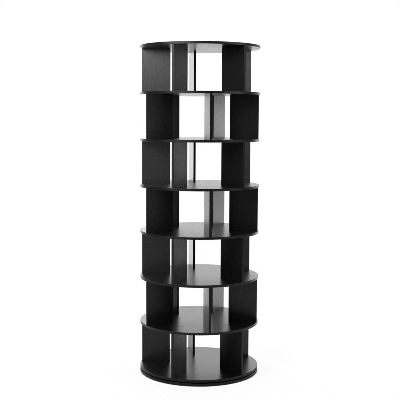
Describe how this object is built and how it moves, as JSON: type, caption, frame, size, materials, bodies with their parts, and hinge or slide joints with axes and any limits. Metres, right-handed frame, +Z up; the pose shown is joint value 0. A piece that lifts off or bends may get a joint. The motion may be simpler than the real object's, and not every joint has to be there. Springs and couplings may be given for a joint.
{
  "type": "rotating shoe tower",
  "caption": "Tower of open round shelves with staggered upright radial panels that turns freely on a flat round base.",
  "frame": {"origin": "on the floor, on the axis that the stack turns about", "axes": "+Z up along the stack; +X and +Y along the floor, +X at 28.3 degrees from the lowest tier's first panel"},
  "size_m": [0.45, 0.45, 1.235],
  "materials": {
    "board": "smooth satin black melamine on fibreboard",
    "edge_band": "fine-grained satin black strip",
    "black_screw": "black phosphated steel",
    "zinc_steel": "zinc plated",
    "aluminium": "turned",
    "nylon": "moulded natural nylon",
    "bearing_steel": "polished steel",
    "pad_rubber": "matt"
  },
  "bodies": {
    "base": {"base_board": "board", "base_edge_band": "edge_band", "bearing_outer_ring": "aluminium", "outer_ring_screws": "zinc_steel", "foot_pads": "pad_rubber"},
    "tower": {"shelf_board_1": "board", "shelf_board_2": "board", "shelf_board_3": "board", "shelf_board_4": "board", "shelf_board_5": "board", "shelf_board_6": "board", "shelf_board_7": "board", "top_board": "board", "panel_1_1": "board", "panel_1_2": "board", "panel_1_3": "board", "panel_1_4": "board", "panel_1_5": "board", "panel_2_1": "board", "panel_2_2": "board", "panel_2_3": "board", "panel_2_4": "board", "panel_2_5": "board", "panel_3_1": "board", "panel_3_2": "board", "panel_3_3": "board", "panel_3_4": "board", "panel_3_5": "board", "panel_4_1": "board", "panel_4_2": "board", "panel_4_3": "board", "panel_4_4": "board", "panel_4_5": "board", "panel_5_1": "board", "panel_5_2": "board", "panel_5_3": "board", "panel_5_4": "board", "panel_5_5": "board", "panel_6_1": "board", "panel_6_2": "board", "panel_6_3": "board", "panel_6_4": "board", "panel_6_5": "board", "panel_7_1": "board", "panel_7_2": "board", "panel_7_3": "board", "panel_7_4": "board", "panel_7_5": "board", "shelf_edge_bands": "edge_band", "panel_edge_bands": "edge_band", "panel_screws": "black_screw", "bearing_inner_ring": "aluminium", "inner_ring_screws": "zinc_steel"},
    "ball_ring": {"ball_cage": "nylon", "bearing_balls": "bearing_steel"}
  },
  "joints": [
    {"name": "tower_spin", "type": "hinge", "parent": "base", "child": "tower", "pos_m": [0, 0, 0.011], "axis": [0, 0, 1], "continuous": true},
    {"name": "ball_ring_spin", "type": "hinge", "parent": "base", "child": "ball_ring", "pos_m": [0, 0, 0.011], "axis": [0, 0, 1], "continuous": true}
  ],
  "couplings": [
    {"joint": "ball_ring_spin", "follows": "tower_spin", "ratio": 0.48}
  ]
}
